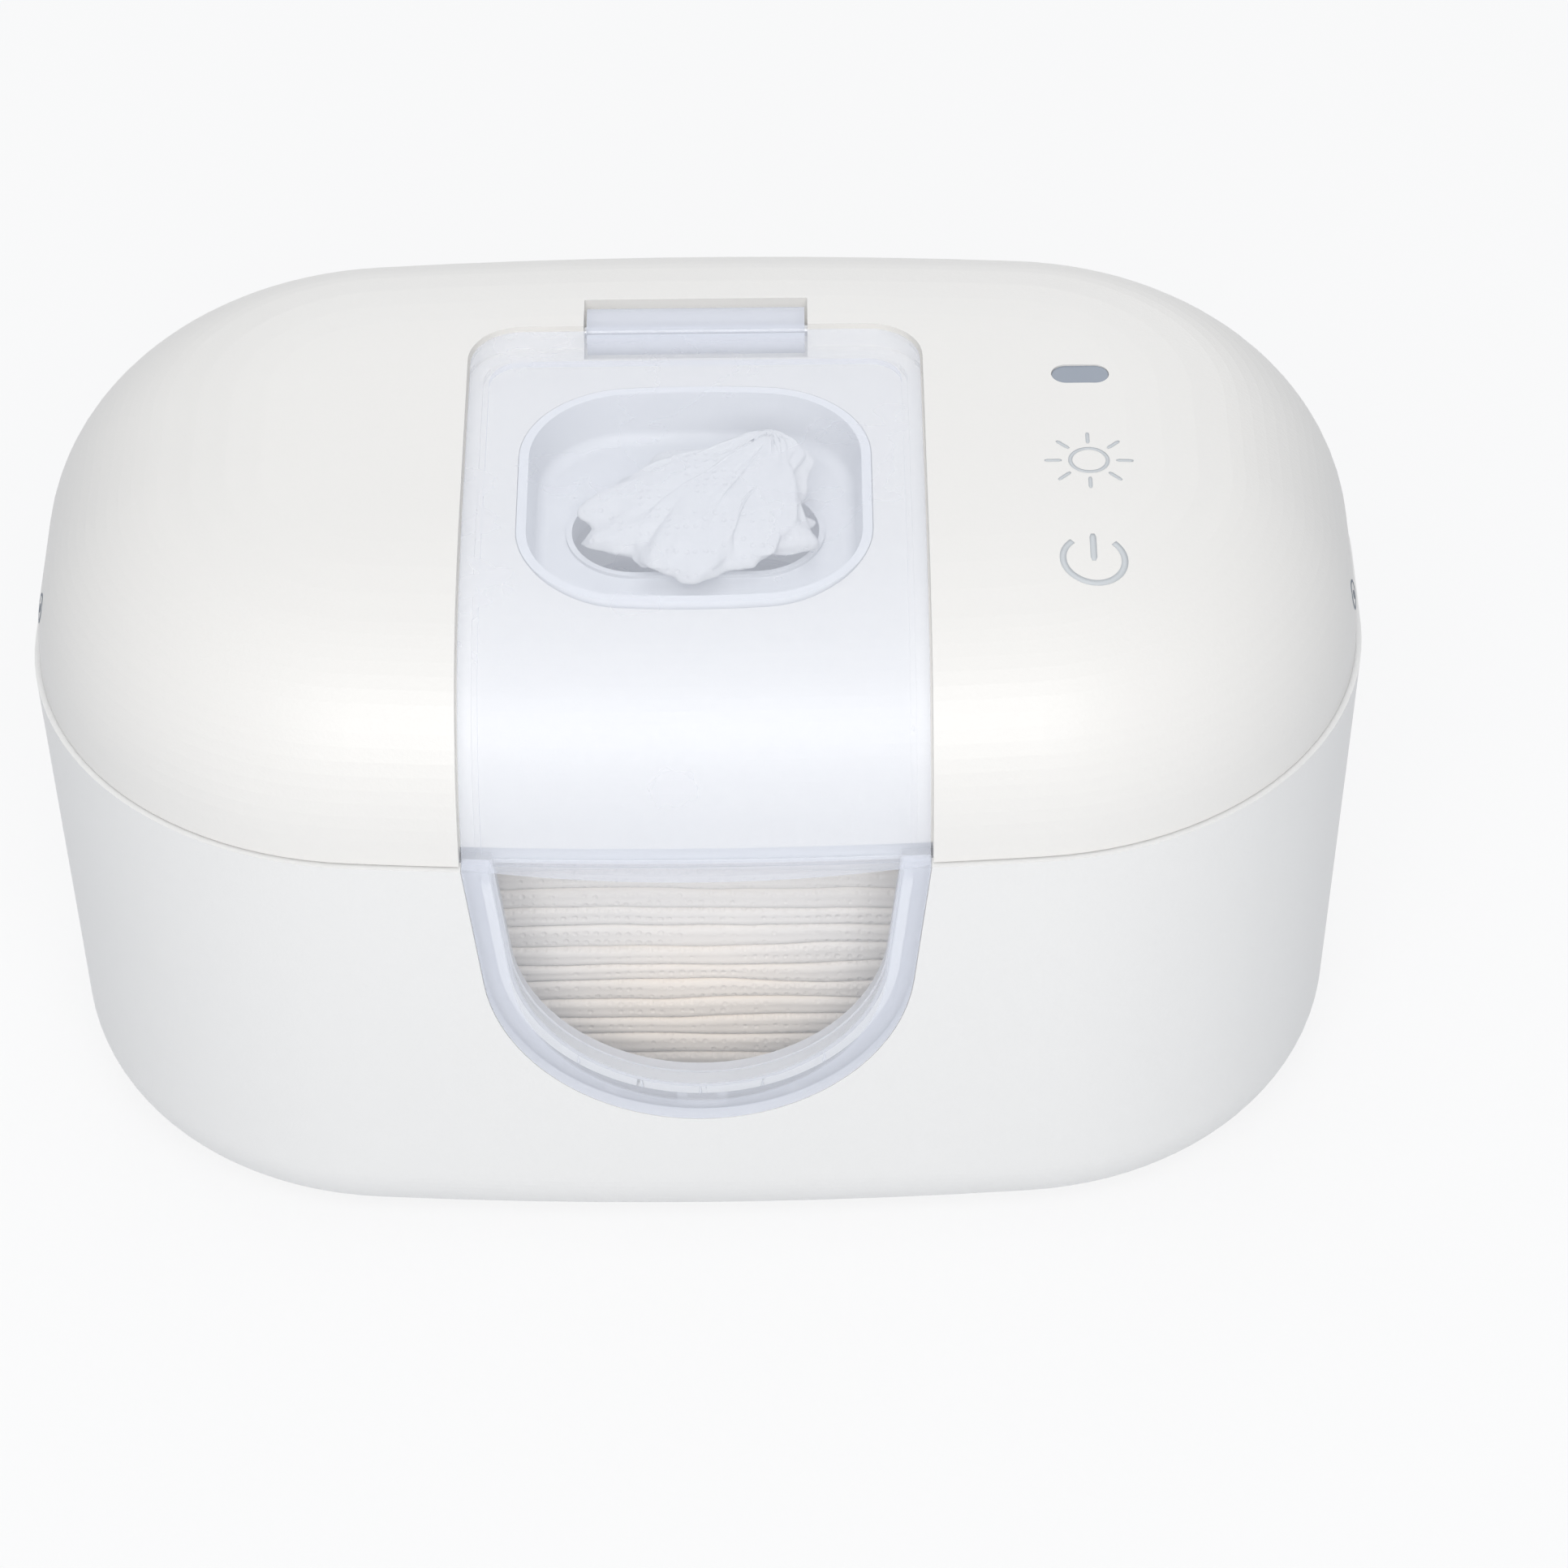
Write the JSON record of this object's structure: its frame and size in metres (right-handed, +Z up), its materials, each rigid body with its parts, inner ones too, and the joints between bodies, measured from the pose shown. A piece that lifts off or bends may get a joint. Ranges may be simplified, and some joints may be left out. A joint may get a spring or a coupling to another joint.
{
  "type": "baby wipe warmer",
  "caption": "Oval covered tub that holds a stack of wet wipes and warms it from a heated lift-off lid, with a hinged flap over the dispensing slot and a front window.",
  "frame": {"origin": "middle of the body's footprint, on the ground under the rubber feet", "axes": "+X to the right along the long side, +Y to the rear, +Z up; the window and the flap's finger lip face -Y"},
  "size_m": [0.2286, 0.1485, 0.127],
  "materials": {
    "base_plastic": "satin moulded white, slightly cool",
    "lid_plastic": "satin moulded white",
    "inner_plastic": "matt moulded white",
    "milky_plastic": "translucent milky blue, smooth",
    "frosted_plastic": "translucent frosted grey",
    "silicone": "soft translucent silicone",
    "foot_rubber": "matt grey rubber",
    "steel": "plain steel",
    "stack_cloth": "damp non-woven cloth, folded",
    "wipe_cloth": "damp non-woven cloth, embossed",
    "heater_aluminium": "rolled sheet",
    "heater_film": "amber film",
    "heater_pad": "foam rubber",
    "fuse": "ceramic tube",
    "board": "green circuit board",
    "contact_pad": "conductive foam",
    "light_chip": "small light chip",
    "lens": "grey-blue light guide",
    "black_plastic": "black socket"
  },
  "bodies": {
    "base": {"base_shell": "base_plastic", "front_window": "milky_plastic", "window_gasket": "silicone", "inner_tub": "frosted_plastic", "tub_screws": "steel", "rubber_feet": "foot_rubber", "wipe_stack": "stack_cloth"},
    "lid": {"lid_shell": "lid_plastic", "lid_liner": "inner_plastic", "dispensing_well": "milky_plastic", "throat_seal": "silicone", "lid_seal": "silicone", "heater_plate": "heater_aluminium", "heater_film": "heater_film", "heater_pad": "heater_pad", "thermal_fuse": "fuse", "touch_board": "board", "touch_pads": "contact_pad", "board_lights": "light_chip", "indicator_lens": "lens", "power_board": "board", "inlet_socket": "black_plastic", "inlet_pin": "steel", "lid_screws": "steel", "heater_screws": "steel", "board_screws": "steel", "left_catch_spring": "steel", "right_catch_spring": "steel", "hinge_pin": "steel", "popup_wipe": "wipe_cloth"},
    "flap": {"flap": "milky_plastic"},
    "left_catch": {"left_catch": "inner_plastic"},
    "right_catch": {"right_catch": "inner_plastic"}
  },
  "joints": [
    {"name": "lid_lift", "type": "slide", "parent": "base", "child": "lid", "axis": [0, 0, 1], "range_m": [0, 0.12]},
    {"name": "flap_hinge", "type": "hinge", "parent": "lid", "child": "flap", "pos_m": [0, 0.0324, 0.1226], "axis": [-1, 0, 0], "range_deg": [0, 95]},
    {"name": "left_catch_press", "type": "slide", "parent": "lid", "child": "left_catch", "axis": [1, 0, 0], "range_m": [0, 0.0014], "stiffness_N_per_m": 500, "deforming": ["left_catch_spring"]},
    {"name": "right_catch_press", "type": "slide", "parent": "lid", "child": "right_catch", "axis": [-1, 0, 0], "range_m": [0, 0.0014], "stiffness_N_per_m": 500, "deforming": ["right_catch_spring"]}
  ]
}
